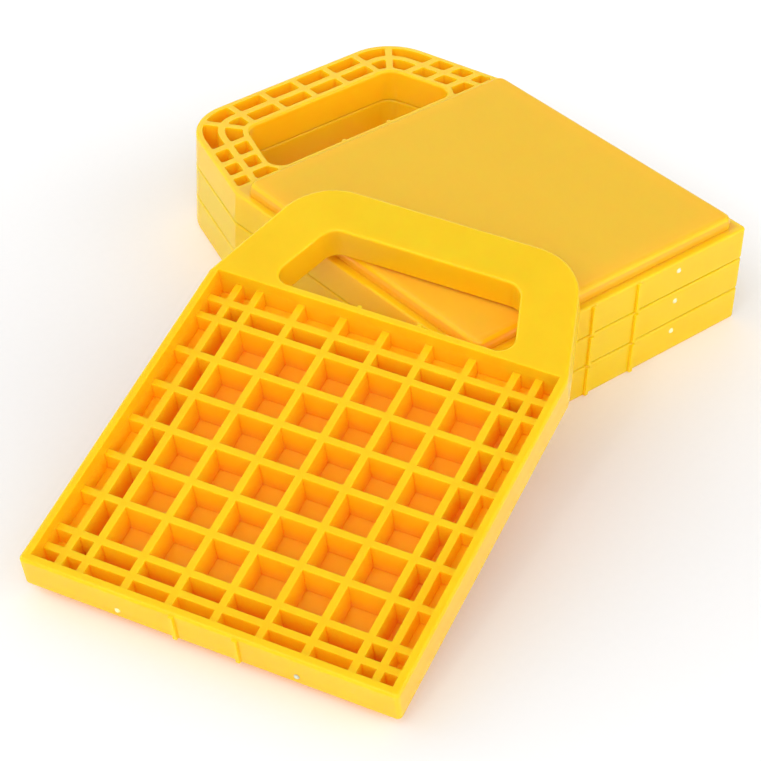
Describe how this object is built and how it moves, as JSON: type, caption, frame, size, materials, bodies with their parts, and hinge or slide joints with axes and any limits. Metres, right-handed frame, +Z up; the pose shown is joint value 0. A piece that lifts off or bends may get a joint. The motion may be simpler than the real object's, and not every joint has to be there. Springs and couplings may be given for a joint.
{
  "type": "leveling block set",
  "caption": "Stack of nesting moulded lattice pads with carry handles and one more leaning against it, for standing jack feet and wheels on.",
  "frame": {"origin": "on the floor at the middle of the set's footprint", "axes": "+Z up; +Y from the stack's far end wall toward its handles; +X from the leaning pad toward the stack"},
  "size_m": [0.3634, 0.3296, 0.0775],
  "materials": {
    "moulded_plastic": "semi-gloss moulded yellow, fine-textured deck"
  },
  "bodies": {
    "pad_bottom": {"pad_bottom": "moulded_plastic"},
    "pad_middle": {"pad_middle": "moulded_plastic"},
    "pad_top": {"pad_top": "moulded_plastic"},
    "pad_leaning": {"pad_leaning": "moulded_plastic"}
  },
  "joints": [
    {"name": "middle_lift", "type": "slide", "parent": "pad_bottom", "child": "pad_middle", "axis": [0, 0, 1], "range_m": [0, 0.04]},
    {"name": "top_lift", "type": "slide", "parent": "pad_middle", "child": "pad_top", "axis": [0, 0, 1], "range_m": [0, 0.04]},
    {"name": "leaning_lift", "type": "slide", "parent": "pad_top", "child": "pad_leaning", "axis": [0, 0, 1], "range_m": [0, 0.08]}
  ]
}
